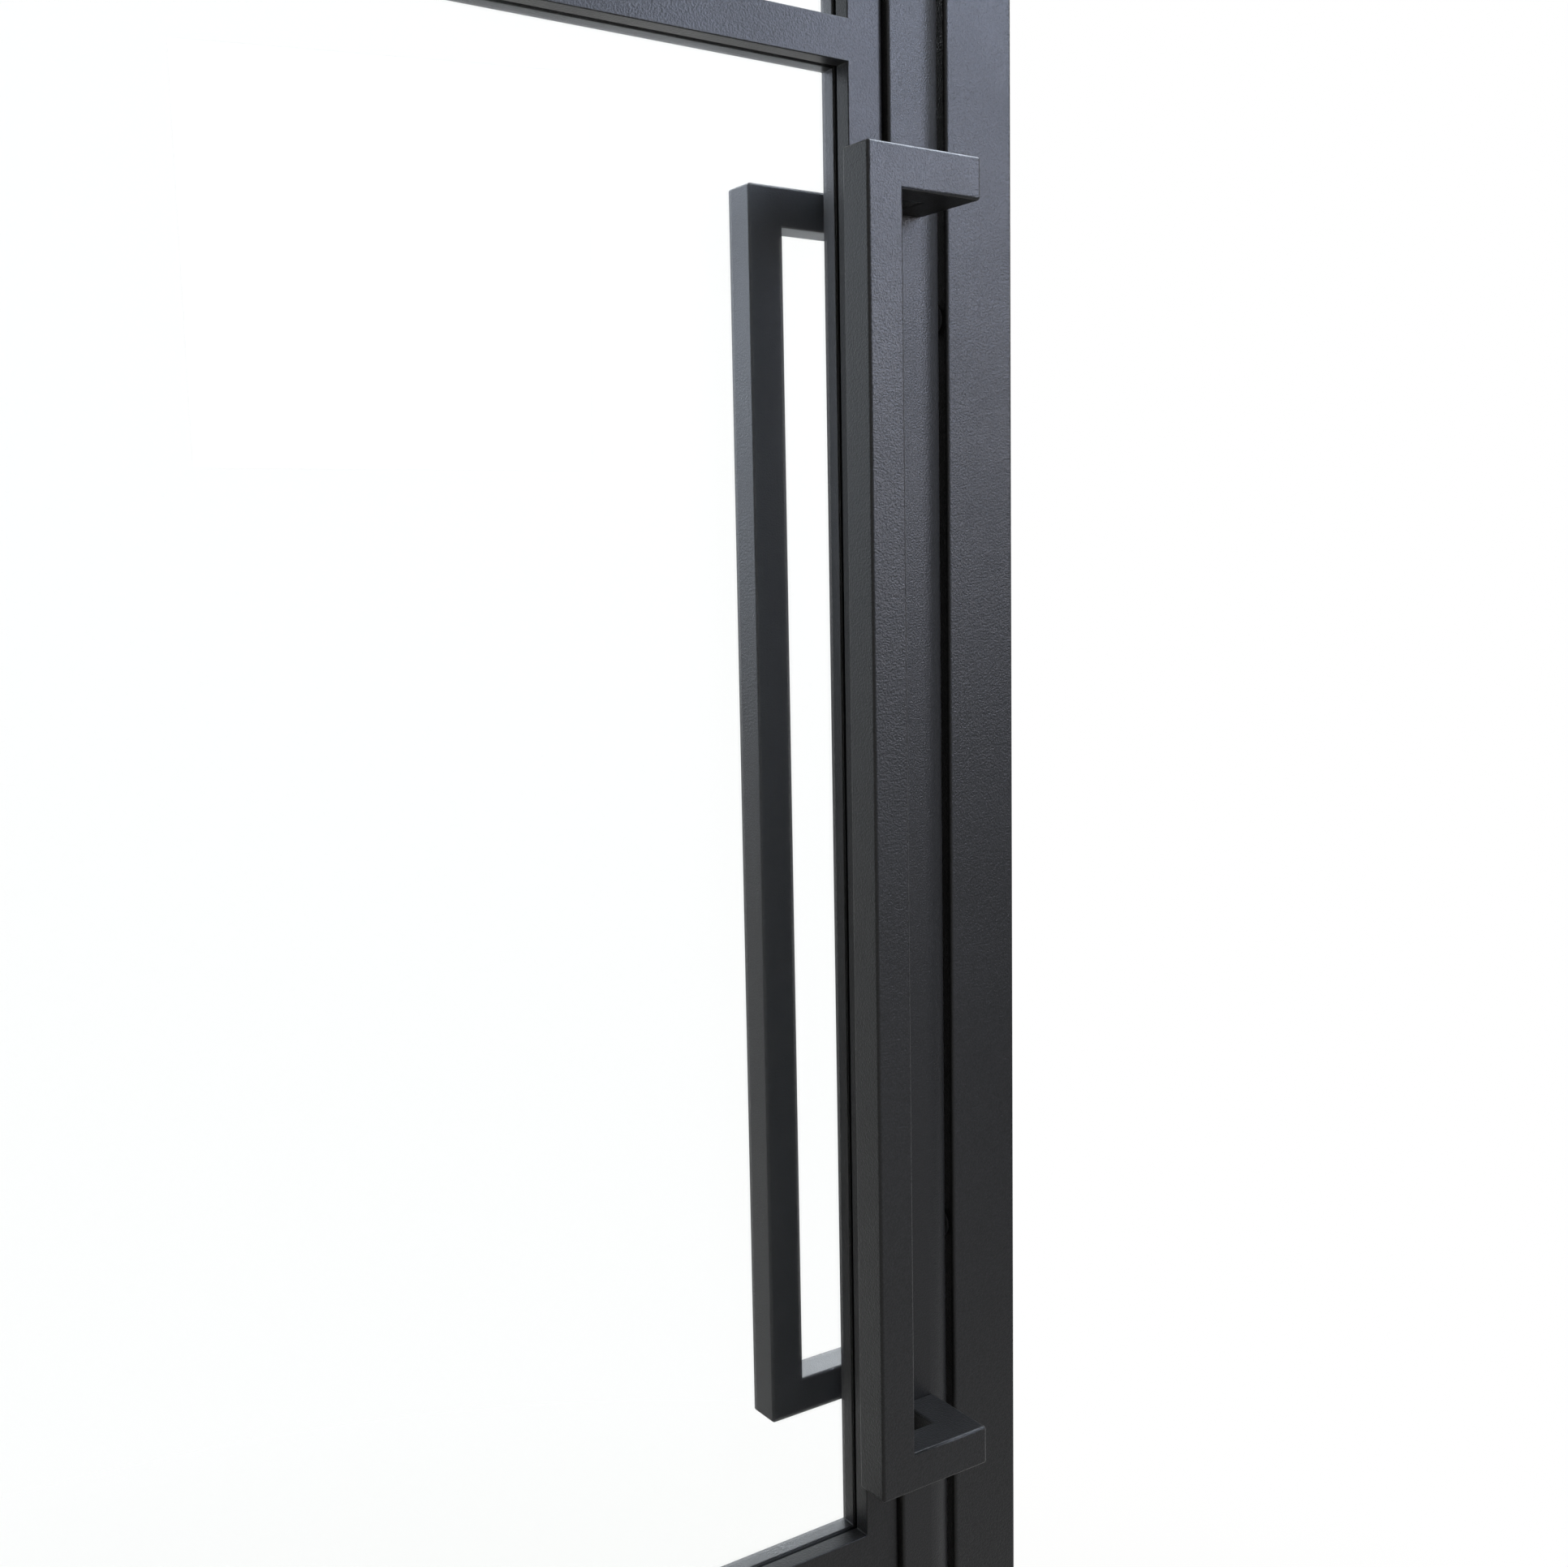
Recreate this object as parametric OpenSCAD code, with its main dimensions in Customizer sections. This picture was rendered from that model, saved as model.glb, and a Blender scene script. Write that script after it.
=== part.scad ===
// Steel and glass pivot door in its own frame, shown closed.
// X runs across the doorway with the handle side at +X. Y runs through the leaf with the
// front at -Y. Z is up from the finished floor. All lengths are in millimetres.

/* [Leaf] */
// Width of the leaf
leaf_w = 880; // [640:1:1200]
// Height of the leaf
leaf_h = 2030; // [1700:1:2600]
// Thickness of the stiles and rails
leaf_t = 40; // [36:1:60]
// Face width of the stiles
stile_w = 44.5; // [40:0.5:70]
// Face height of the rails
rail_h = 44.5; // [44:0.5:80]
// Wall of the stile and rail sections
section_wall = 2.5; // [2.4:0.1:3]
// Width of the curved part of a stile's face, at its outer edge
stile_curve_w = 21; // [14:0.5:24]
// Radius of that curve
stile_curve_r = 28; // [26:0.5:40]
// Radius between that curve and the flat edge of the stile
stile_nose_r = 1.5; // [0.6:0.1:2.5]
// Radius of the other edges of the stiles and rails
section_edge_r = 2; // [1:0.1:4]
// Thickness of the caps that close the ends of the stiles
end_cap_t = 2.5; // [1.5:0.1:6]

/* [Glazing] */
// Thickness of the glass
glass_t = 5; // [4:0.5:8]
// Depth to which the glass enters the stiles and rails
glass_bite = 5; // [3:0.1:5.4]
// Rubber on each side of the glass edge
gasket_side = 1.5; // [1:0.1:2.5]
// Rubber under the glass edge
gasket_base = 1; // [0.5:0.1:1.4]
// Wall of the channel that holds the glass edge
channel_wall = 2; // [1.5:0.1:2.2]
// Thickness of the bonding tape under the glazing bars
tape_t = 0.5; // [0.3:0.1:1.5]
// Distance from the edge of a glazing bar to the edge of its tape
tape_inset = 1; // [0.5:0.1:4]

/* [Glazing bars] */
// Face width of the glazing bars
bar_w = 25; // [16:0.5:40]
// Depth of the glazing bars
bar_d = 12; // [8:0.5:14]
// Wall of the glazing bars
bar_wall = 1.5; // [1:0.1:2.5]
// Shadow gap between the glazing bars and the stiles and rails
bar_gap = 1.2; // [0.5:0.1:6]
// Clear height of the middle pane
mid_pane_h = 932; // [500:1:1200]

/* [Pull handles] */
// Side of the square handle tube
handle_side = 25; // [20:0.5:30]
// Wall of the handle tube
handle_wall = 2; // [1.5:0.1:3]
// Radius of the edges of the handle tube
handle_edge_r = 2; // [0.6:0.1:3]
// Height of the handle
handle_len = 811; // [400:1:1000]
// Sideways step from the foot of the handle to its grip bar
handle_step = 57.5; // [45:0.5:110]
// Distance from the edge of the leaf to the middle of the handle's feet
handle_inset = 31.6; // [26:0.1:31.6]
// Distance from the foot of the handle to the front of its grip bar
handle_reach = 55.2; // [50:0.1:110]
// Length of the solid plug in each foot
foot_plug = 16; // [15:0.5:20]
// Thickness of the washer under each foot
foot_washer_t = 1; // [0.5:0.1:4]
// Side of the washer under each foot
foot_washer_side = 23; // [14:0.5:25]
// Diameter of the studs through the stile
stud_d = 8; // [6:0.5:8]
// Depth to which a stud enters each foot
stud_bite = 12; // [8:0.5:14]

/* [Frame] */
// Face width of the frame
frame_face = 54; // [40:1:90]
// Depth of the frame through the wall
frame_d = 30; // [26:1:60]
// Wall of the frame tube
frame_wall = 2.5; // [2.4:0.1:4]
// Radius of the edges of the frame tube
frame_edge_r = 2.5; // [1:0.1:4]
// Gap between the leaf and each jamb
side_gap = 3.5; // [3:0.1:8]
// Gap between the leaf and the head
top_gap = 4; // [3:0.1:8]
// Gap between the leaf and the floor
floor_gap = 8; // [7:0.1:14]

/* [Frame fixings] */
// Diameter of the fixing holes in the back wall of each jamb
fixing_hole_d = 9; // [5:0.5:12]
// Diameter of the access holes in the front wall of each jamb
access_hole_d = 16; // [13:0.5:20]
// Distance from the end of a jamb to its first fixing hole
fixing_end = 200; // [120:5:350]
// Distance between the two fixing holes of a pair
fixing_pitch = 550; // [200:5:600]
// Thickness of the rim of an access hole's plug
plug_rim_t = 0.8; // [0.5:0.1:1.5]
// Width of the rim of an access hole's plug
plug_rim_w = 2; // [1:0.1:4]
// Length of the stem of an access hole's plug
plug_stem = 6; // [4:0.5:12]
// Length of each leg of a corner cleat
cleat_leg = 42; // [32:1:46]
// Thickness of a corner cleat
cleat_t = 4; // [3:0.1:6]
// Diameter of the cleat screws
cleat_screw_d = 4; // [3:0.1:4.5]
// Distance from the end of a cleat to its first screw
cleat_screw_end = 9; // [7:0.5:12]
// Distance between the two screws in a cleat leg
cleat_screw_pitch = 16; // [12:0.5:18]

/* [Pivots] */
// Distance from the edge of the leaf to the pivot axis
pivot_inset = 100; // [98:1:160]
// Diameter of the pivot pin on the floor
floor_pin_d = 14; // [10:0.5:16]
// Height of the floor pivot pin above the floor
floor_pin_h = 32; // [26:0.5:34]
// Length of the floor plate
floor_plate_l = 120; // [110:1:180]
// Width of the floor plate
floor_plate_w = 36; // [30:1:60]
// Thickness of the floor plate
floor_plate_t = 5; // [4:0.1:5.5]
// Radius of the corners of the floor plate
floor_plate_r = 4; // [1:0.5:10]
// Diameter of the fixing holes in the floor plate
floor_hole_d = 6; // [4:0.5:7]
// Distance between the floor plate's holes along the leaf
floor_hole_x = 90; // [70:1:94]
// Distance between the floor plate's holes through the leaf
floor_hole_y = 18; // [14:1:20]
// Wall of the bush on the floor pin
floor_bush_wall = 3; // [2:0.1:4]
// Diameter of the flange that carries the leaf
floor_flange_d = 30; // [26:0.5:36]
// Length of the blocks in the rails that hold the pivots
block_l = 90; // [80:1:110]
// Height of the blocks in the rails
block_h = 30; // [28:0.5:31]
// Diameter of the block screws
block_screw_d = 4.5; // [3:0.1:4.5]
// Distance between the two block screws
block_screw_pitch = 60; // [50:1:64]
// Diameter of the top pivot pin
top_pin_d = 12; // [8:0.5:14]
// Height of the top pin above the leaf
top_pin_reach = 18; // [12:0.5:20]
// Wall of the bush in the head
top_bush_wall = 2; // [1.5:0.1:3]
// Length of the bush in the head
top_bush_l = 20; // [18:0.5:30]
// Diameter of the flange of the bush in the head
top_flange_d = 24; // [20:0.5:30]
// Thickness of the flange of the bush in the head
top_flange_t = 1.5; // [1:0.1:2]
// Length of the plate that holds the bush in the head
top_plate_l = 64; // [60:1:80]
// Thickness of the plate that holds the bush in the head
top_plate_t = 10; // [6:0.5:16]
// Distance between the two screws of the plate in the head
top_screw_pitch = 46; // [42:1:50]

/* [Clearances] */
// Running clearance of the pivots, on the radius
pivot_clear = 0.05; // [0.02:0.01:0.1]
// Clearance under the flange that carries the leaf
thrust_clear = 0.1; // [0.05:0.05:0.3]
// Clearance of pins, studs and screws in their holes, on the radius
hole_clear = 0.1; // [0.05:0.05:0.4]
// Clearance beside the blocks, plates and cleats inside the tubes
seat_clear = 0.6; // [0.5:0.1:1]

/* [Hidden] */
$fn = 64;
coat = [0.09, 0.092, 0.1];
steel = [0.62, 0.63, 0.65];
bronze = [0.72, 0.55, 0.32];
rubber = [0.03, 0.03, 0.03];
clear_glass = [0.75, 0.85, 0.85, 0.3];

// Overshoot of cutting shapes, and the least radius inside a tube's corner
over = 1;
least_r = 0.5;

// Leaf
half_leaf = leaf_w / 2;
leaf_z0 = floor_gap;
leaf_z1 = leaf_z0 + leaf_h;
leaf_mid_z = (leaf_z0 + leaf_z1) / 2;
stile_x = half_leaf - stile_w;
stile_len = leaf_h - 2 * end_cap_t;
rail_len = 2 * stile_x;
bottom_rail_z1 = leaf_z0 + rail_h;
top_rail_z0 = leaf_z1 - rail_h;

// Glass and its channel
slot_w = glass_t + 2 * gasket_side;
slot_d = glass_bite + gasket_base;
glass_x = stile_x + glass_bite;
glass_z0 = bottom_rail_z1 - glass_bite;
glass_z1 = top_rail_z0 + glass_bite;

// Glazing bars
bar_y = glass_t / 2 + tape_t;
grid_x = stile_x - bar_gap;
grid_z0 = bottom_rail_z1 + bar_gap;
grid_z1 = top_rail_z0 - bar_gap;
pane_x = grid_x - bar_w;
lower_muntin_z = leaf_mid_z - mid_pane_h / 2 - bar_w;
upper_muntin_z = leaf_mid_z + mid_pane_h / 2;
pane_heights = [
    [grid_z0 + bar_w, lower_muntin_z],
    [lower_muntin_z + bar_w, upper_muntin_z],
    [upper_muntin_z + bar_w, grid_z1 - bar_w]
];

// Pull handles
handle_foot_x = half_leaf - handle_inset;
handle_grip_x = handle_foot_x - handle_step;
handle_foot_y = leaf_t / 2 + foot_washer_t;
handle_front_y = handle_foot_y + handle_reach;
handle_left_x = handle_grip_x - handle_side / 2;
handle_right_x = handle_foot_x + handle_side / 2;
handle_z0 = leaf_mid_z - handle_len / 2;
handle_z1 = leaf_mid_z + handle_len / 2;
foot_heights = [handle_z0 + handle_side / 2, handle_z1 - handle_side / 2];

// Frame
frame_x0 = half_leaf + side_gap;
frame_x1 = frame_x0 + frame_face;
frame_z0 = leaf_z1 + top_gap;
frame_h = frame_z0 + frame_face;
fixing_heights = [
    fixing_end,
    fixing_end + fixing_pitch,
    frame_h - fixing_end - fixing_pitch,
    frame_h - fixing_end
];
cleat_x = frame_x0 + frame_wall;
cleat_z = frame_z0 + frame_wall;
cleat_w = frame_d - 2 * frame_wall - 2 * seat_clear;
cleat_screw_places = [
    cleat_leg - cleat_screw_end,
    cleat_leg - cleat_screw_end - cleat_screw_pitch
];
cleat_screw_l = frame_wall + cleat_t;

// Pivots
pivot_x = pivot_inset - half_leaf;
block_w = leaf_t - 2 * section_wall - 2 * seat_clear;
block_z = leaf_z0 + section_wall;
block_screw_l = section_wall + block_h / 2;
floor_bush_r = floor_pin_d / 2 + floor_bush_wall;
top_bush_r = top_pin_d / 2 + top_bush_wall;
top_plate_w = frame_d - 2 * frame_wall - 2 * seat_clear;
top_screw_l = frame_wall + top_plate_t / 2;

// Outline from x0 to x1 and from -y to y, with radius r0 at the x0 corners and r1 at the x1 corners
module soft_outline(x0, x1, y, r0, r1) {
    polygon([
        [x0, r0 - y], [x0 + r0, -y], [x1 - r1, -y], [x1, r1 - y],
        [x1, y - r1], [x1 - r1, y], [x0 + r0, y], [x0, y - r0]
    ]);
    for (side = [-1, 1]) {
        translate([x0 + r0, side * (y - r0)])
            circle(r = r0);
        translate([x1 - r1, side * (y - r1)])
            circle(r = r1);
    }
}

// Outline from x0 to x1 and from -y to y, with radius r0 at the x0 corners. Over the width curve_w
// before x1 it curves inwards with radius curve_r, and nose_r joins that curve to the x1 side
module curved_outline(x0, x1, y, r0, curve_w, curve_r, nose_r) {
    run = curve_w - nose_r;
    rise = sqrt(pow(curve_r - nose_r, 2) - pow(run, 2));
    towards_nose = [run, -rise] / (curve_r - nose_r);
    centre = [x1 - curve_w, curve_r - y];
    touch = centre + curve_r * towards_nose;
    nose_y = rise - centre.y;
    polygon([
        [x0, r0 - y], [x0 + r0, -y], [centre.x, -y], touch, [x1, -nose_y],
        [x1, nose_y], [touch.x, -touch.y], [centre.x, y], [x0 + r0, y], [x0, y - r0]
    ]);
    for (side = [0, 1])
        mirror([0, side, 0]) {
            translate([x0 + r0, r0 - y])
                circle(r = r0);
            translate([x1 - nose_r, -nose_y])
                circle(r = nose_r);
            intersection() {
                translate(centre)
                    circle(r = curve_r);
                polygon([centre, centre - [0, 2 * curve_r], centre + 2 * curve_r * towards_nose]);
            }
        }
}

// Triangle that trims a tube end to a mitre: the outer corner of the joint is at the origin,
// the tubes lie towards +X and -Y, and the upper triangle is the one above the mitre line
module mitre_triangle(size, upper) {
    third_point = upper ? [size + over, over] : [-over, -size - over];
    polygon([[-over, over], third_point, [size + over, -size - over]]);
}

// Countersunk screw with its head face at the origin, pointing up
module screw(d, length) {
    rotate_extrude()
        polygon([[0, 0], [d, 0], [d / 2, d / 2], [d / 2, length], [0, length]]);
}

// Hole for that screw
module screw_hole(d, length) {
    head_r = d + hole_clear;
    shank_r = d / 2 + hole_clear;
    rotate_extrude()
        polygon([
            [0, -over], [head_r, -over], [head_r, 0], [shank_r, d / 2],
            [shank_r, length + hole_clear], [0, length + hole_clear]
        ]);
}

// Lays an upright extrusion along X, so that its own X becomes Z
module lay_along_x() {
    rotate([0, -90, 0])
        children();
}

// Frame tube section, with its inner face at the origin
module frame_section() {
    inside_r = max(frame_edge_r - frame_wall, least_r);
    difference() {
        soft_outline(0, frame_face, frame_d / 2, frame_edge_r, frame_edge_r);
        soft_outline(frame_wall, frame_face - frame_wall, frame_d / 2 - frame_wall, inside_r, inside_r);
    }
}

// Mitre cutter at the frame's corner on the handle side
module frame_mitre(upper) {
    translate([frame_x1, 0, frame_h])
        mirror([1, 0, 0])
            rotate([90, 0, 0])
                linear_extrude(height = frame_d + 2 * over, center = true)
                    mitre_triangle(frame_face, upper);
}

module jamb() {
    difference() {
        translate([frame_x0, 0, 0])
            linear_extrude(height = frame_h)
                frame_section();
        frame_mitre(true);
        for (z = fixing_heights) {
            translate([frame_x0 - over, 0, z])
                rotate([0, 90, 0])
                    cylinder(d = access_hole_d, h = frame_wall + 2 * over);
            translate([frame_x1 - frame_wall - over, 0, z])
                rotate([0, 90, 0])
                    cylinder(d = fixing_hole_d, h = frame_wall + 2 * over);
        }
        for (drop = cleat_screw_places)
            translate([frame_x0, 0, cleat_z - drop])
                rotate([0, 90, 0])
                    screw_hole(cleat_screw_d, cleat_screw_l);
    }
}

module jamb_handle_side() {
    color(coat)
        jamb();
}

module jamb_pivot_side() {
    color(coat)
        mirror([1, 0, 0])
            jamb();
}

module frame_head() {
    color(coat)
        difference() {
            translate([0, 0, frame_z0])
                lay_along_x()
                    linear_extrude(height = 2 * frame_x1, center = true)
                        frame_section();
            for (side = [0, 1])
                mirror([side, 0, 0]) {
                    frame_mitre(false);
                    for (step = cleat_screw_places)
                        translate([cleat_x - step, 0, frame_z0])
                            screw_hole(cleat_screw_d, cleat_screw_l);
                }
            translate([pivot_x, 0, frame_z0 - over])
                cylinder(r = top_bush_r + hole_clear, h = frame_wall + 2 * over);
            top_screw_places()
                screw_hole(block_screw_d, top_screw_l);
        }
}

// Angle plate in the inner corner of the frame, screwed to the jamb and the head
module corner_cleat() {
    color(steel)
        difference() {
            rotate([90, 0, 0])
                linear_extrude(height = cleat_w, center = true)
                    polygon([
                        [cleat_x + cleat_t, cleat_z - cleat_leg], [cleat_x + cleat_t, cleat_z + cleat_t],
                        [cleat_x - cleat_leg, cleat_z + cleat_t], [cleat_x - cleat_leg, cleat_z],
                        [cleat_x, cleat_z], [cleat_x, cleat_z - cleat_leg]
                    ]);
            cleat_screw_pattern()
                cylinder(r = cleat_screw_d / 2 + hole_clear, h = cleat_screw_l + over);
        }
}

// Places of the four screws of the cleat on the handle side
module cleat_screw_pattern() {
    for (step = cleat_screw_places) {
        translate([frame_x0, 0, cleat_z - step])
            rotate([0, 90, 0])
                children();
        translate([cleat_x - step, 0, frame_z0])
            children();
    }
}

module corner_cleat_handle_side() {
    corner_cleat();
}

module corner_cleat_pivot_side() {
    mirror([1, 0, 0])
        corner_cleat();
}

module corner_cleat_screws() {
    color(steel)
        for (side = [0, 1])
            mirror([side, 0, 0])
                cleat_screw_pattern()
                    screw(cleat_screw_d, cleat_screw_l);
}

// Cap that closes the access hole over each wall fixing
module fixing_hole_plugs() {
    stem_r = access_hole_d / 2 - hole_clear;
    rim_r = access_hole_d / 2 + plug_rim_w;
    color(rubber)
        for (side = [0, 1])
            mirror([side, 0, 0])
                for (z = fixing_heights)
                    translate([frame_x0, 0, z])
                        rotate([0, 90, 0])
                            rotate_extrude()
                                polygon([
                                    [0, -plug_rim_t], [rim_r, -plug_rim_t], [rim_r, 0],
                                    [stem_r, 0], [stem_r, plug_stem], [0, plug_stem]
                                ]);
}

module floor_pivot_plate() {
    color(steel)
        translate([pivot_x, 0, 0])
            difference() {
                linear_extrude(height = floor_plate_t)
                    soft_outline(-floor_plate_l / 2, floor_plate_l / 2, floor_plate_w / 2,
                        floor_plate_r, floor_plate_r);
                translate([0, 0, -over])
                    cylinder(r = floor_pin_d / 2 + hole_clear, h = floor_plate_t + 2 * over);
                for (sx = [-1, 1], sy = [-1, 1])
                    translate([sx * floor_hole_x / 2, sy * floor_hole_y / 2, -over])
                        cylinder(d = floor_hole_d, h = floor_plate_t + 2 * over);
            }
}

module floor_pivot_pin() {
    pin_r = floor_pin_d / 2;
    color(steel)
        translate([pivot_x, 0, 0])
            rotate_extrude()
                polygon([
                    [0, 0], [pin_r, 0], [pin_r, floor_pin_h - over],
                    [pin_r - over, floor_pin_h], [0, floor_pin_h]
                ]);
}

// Flanged bush in the head, in which the top pin turns
module top_pivot_bush() {
    bore_r = top_pin_d / 2 + pivot_clear;
    color(bronze)
        translate([pivot_x, 0, frame_z0])
            rotate_extrude()
                polygon([
                    [bore_r, -top_flange_t], [top_flange_d / 2, -top_flange_t], [top_flange_d / 2, 0],
                    [top_bush_r, 0], [top_bush_r, top_bush_l], [bore_r, top_bush_l]
                ]);
}

// Places of the two screws that hold the plate in the head
module top_screw_places() {
    for (side = [-1, 1])
        translate([pivot_x + side * top_screw_pitch / 2, 0, frame_z0])
            children();
}

module top_pivot_plate() {
    color(steel)
        difference() {
            translate([pivot_x - top_plate_l / 2, -top_plate_w / 2, frame_z0 + frame_wall])
                cube([top_plate_l, top_plate_w, top_plate_t]);
            translate([pivot_x, 0, frame_z0])
                cylinder(r = top_bush_r + hole_clear, h = frame_wall + top_plate_t + over);
            top_screw_places()
                screw_hole(block_screw_d, top_screw_l);
        }
}

module top_plate_screws() {
    color(steel)
        top_screw_places()
            screw(block_screw_d, top_screw_l);
}

// Outside of a stile, with its glass side at the origin
module stile_outline() {
    curved_outline(0, stile_w, leaf_t / 2, section_edge_r, stile_curve_w, stile_curve_r, stile_nose_r);
}

// Turns the outline of a stile or rail into its section: a tube with round corners of radius
// outer_hollow_r inside its outer edge, and a channel in its glass side for the edge of the glass
module channel_section(face_w, outer_hollow_r) {
    hollow_r = max(section_edge_r - section_wall, least_r);
    difference() {
        union() {
            difference() {
                children();
                soft_outline(section_wall, face_w - section_wall, leaf_t / 2 - section_wall,
                    hollow_r, max(outer_hollow_r, least_r));
            }
            translate([0, -slot_w / 2 - channel_wall])
                square([slot_d + channel_wall, slot_w + 2 * channel_wall]);
        }
        translate([-over, -slot_w / 2])
            square([slot_d + over, slot_w]);
    }
}

// Places of the two studs that go through the stile
module stud_places() {
    for (z = foot_heights)
        translate([handle_foot_x, 0, z])
            rotate([90, 0, 0])
                children();
}

module stile() {
    translate([stile_x, 0, leaf_z0 + end_cap_t])
        linear_extrude(height = stile_len)
            channel_section(stile_w, leaf_t / 2 - section_wall - least_r)
                stile_outline();
}

module stile_handle_side() {
    color(coat)
        difference() {
            stile();
            stud_places()
                cylinder(r = stud_d / 2 + hole_clear, h = leaf_t + 2 * over, center = true);
        }
}

module stile_pivot_side() {
    color(coat)
        mirror([1, 0, 0])
            stile();
}

module stile_end_caps() {
    color(coat)
        for (side = [0, 1], z = [leaf_z0, leaf_z1 - end_cap_t])
            mirror([side, 0, 0])
                translate([stile_x, 0, z])
                    linear_extrude(height = end_cap_t)
                        stile_outline();
}

// Rail along X with its glass side at height zero and its outer edge above it
module rail() {
    lay_along_x()
        linear_extrude(height = rail_len, center = true)
            channel_section(rail_h, section_edge_r - section_wall)
                soft_outline(0, rail_h, leaf_t / 2, section_edge_r, section_edge_r);
}

// Places of the two screws of a pivot block, from the bottom edge of the leaf
module block_screw_places() {
    for (side = [-1, 1])
        translate([pivot_x + side * block_screw_pitch / 2, 0, leaf_z0])
            children();
}

// Turns what is made for the bottom edge of the leaf over to its top edge
module at_top_edge() {
    translate([0, 0, leaf_z0 + leaf_z1])
        mirror([0, 0, 1])
            children();
}

// Rail at the bottom edge, with holes for a pivot of the given radius and its block screws
module pivot_rail(hole_r) {
    color(coat)
        difference() {
            translate([0, 0, bottom_rail_z1])
                mirror([0, 0, 1])
                    rail();
            translate([pivot_x, 0, leaf_z0 - over])
                cylinder(r = hole_r + hole_clear, h = section_wall + 2 * over);
            block_screw_places()
                screw_hole(block_screw_d, block_screw_l);
        }
}

// Block inside the rail at the bottom edge, bored for a pivot of the given radius
module pivot_block(hole_r) {
    color(steel)
        difference() {
            translate([pivot_x - block_l / 2, -block_w / 2, block_z])
                cube([block_l, block_w, block_h]);
            translate([pivot_x, 0, block_z - over])
                cylinder(r = hole_r + hole_clear, h = block_h + 2 * over);
            block_screw_places()
                screw_hole(block_screw_d, block_screw_l);
        }
}

module block_screws() {
    color(steel)
        block_screw_places()
            screw(block_screw_d, block_screw_l);
}

module bottom_rail() {
    pivot_rail(floor_bush_r);
}

module top_rail() {
    at_top_edge()
        pivot_rail(top_pin_d / 2);
}

module bottom_pivot_block() {
    pivot_block(floor_bush_r);
}

module top_pivot_block() {
    at_top_edge()
        pivot_block(top_pin_d / 2);
}

module bottom_block_screws() {
    block_screws();
}

module top_block_screws() {
    at_top_edge()
        block_screws();
}

// Flanged bush that turns on the floor pin and carries the leaf
module bottom_pivot_bush() {
    bore_r = floor_pin_d / 2 + pivot_clear;
    flange_z = floor_plate_t + thrust_clear;
    bush_z1 = block_z + block_h;
    color(bronze)
        translate([pivot_x, 0, 0])
            rotate_extrude()
                polygon([
                    [bore_r, flange_z], [floor_flange_d / 2, flange_z], [floor_flange_d / 2, leaf_z0],
                    [floor_bush_r, leaf_z0], [floor_bush_r, bush_z1], [bore_r, bush_z1]
                ]);
}

module top_pivot_pin() {
    pin_r = top_pin_d / 2;
    pin_z0 = leaf_z1 - section_wall - block_h;
    pin_z1 = leaf_z1 + top_pin_reach;
    color(steel)
        translate([pivot_x, 0, 0])
            rotate_extrude()
                polygon([
                    [0, pin_z0], [pin_r, pin_z0], [pin_r, pin_z1 - over],
                    [pin_r - over, pin_z1], [0, pin_z1]
                ]);
}

// Box between two corners
module box(low, high) {
    translate(low)
        cube(high - low);
}

module glass_pane() {
    color(clear_glass)
        box([-glass_x, -glass_t / 2, glass_z0], [glass_x, glass_t / 2, glass_z1]);
}

// Rubber channel wrapped around the edge of the glass
module glass_edge_gasket() {
    color(rubber)
        difference() {
            box([-glass_x - gasket_base, -slot_w / 2, glass_z0 - gasket_base],
                [glass_x + gasket_base, slot_w / 2, glass_z1 + gasket_base]);
            box([-glass_x, -glass_t / 2, glass_z0], [glass_x, glass_t / 2, glass_z1]);
            box([-stile_x, -slot_w, bottom_rail_z1], [stile_x, slot_w, top_rail_z0]);
        }
}

// Bonding tape between the glass and the front glazing bars
module glazing_tape() {
    color(rubber)
        difference() {
            box([tape_inset - grid_x, -bar_y, grid_z0 + tape_inset],
                [grid_x - tape_inset, -glass_t / 2, grid_z1 - tape_inset]);
            for (pane = pane_heights)
                box([-pane_x - tape_inset, -bar_y - over, pane[0] - tape_inset],
                    [pane_x + tape_inset, over, pane[1] + tape_inset]);
        }
}

module front_glazing_tape() {
    glazing_tape();
}

module back_glazing_tape() {
    mirror([0, 1, 0])
        glazing_tape();
}

// Upright glazing bar at the handle side of the front
module upright_bar() {
    color(coat)
        difference() {
            box([pane_x, -bar_y - bar_d, grid_z0], [grid_x, -bar_y, grid_z1]);
            box([pane_x + bar_wall, -bar_y - bar_d + bar_wall, grid_z0 - over],
                [grid_x - bar_wall, -bar_y - bar_wall, grid_z1 + over]);
        }
}

// Level glazing bar on the front, with its lower edge at height z
module level_bar(z) {
    color(coat)
        difference() {
            box([-pane_x, -bar_y - bar_d, z], [pane_x, -bar_y, z + bar_w]);
            box([-pane_x - over, -bar_y - bar_d + bar_wall, z + bar_wall],
                [pane_x + over, -bar_y - bar_wall, z + bar_w - bar_wall]);
        }
}

module front_bar_handle_side() {
    upright_bar();
}

module front_bar_pivot_side() {
    mirror([1, 0, 0])
        upright_bar();
}

module front_bar_top() {
    level_bar(grid_z1 - bar_w);
}

module front_bar_bottom() {
    level_bar(grid_z0);
}

module front_muntin_upper() {
    level_bar(upper_muntin_z);
}

module front_muntin_lower() {
    level_bar(lower_muntin_z);
}

module back_bar_handle_side() {
    mirror([0, 1, 0])
        front_bar_handle_side();
}

module back_bar_pivot_side() {
    mirror([0, 1, 0])
        front_bar_pivot_side();
}

module back_bar_top() {
    mirror([0, 1, 0])
        front_bar_top();
}

module back_bar_bottom() {
    mirror([0, 1, 0])
        front_bar_bottom();
}

module back_muntin_upper() {
    mirror([0, 1, 0])
        front_muntin_upper();
}

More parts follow.
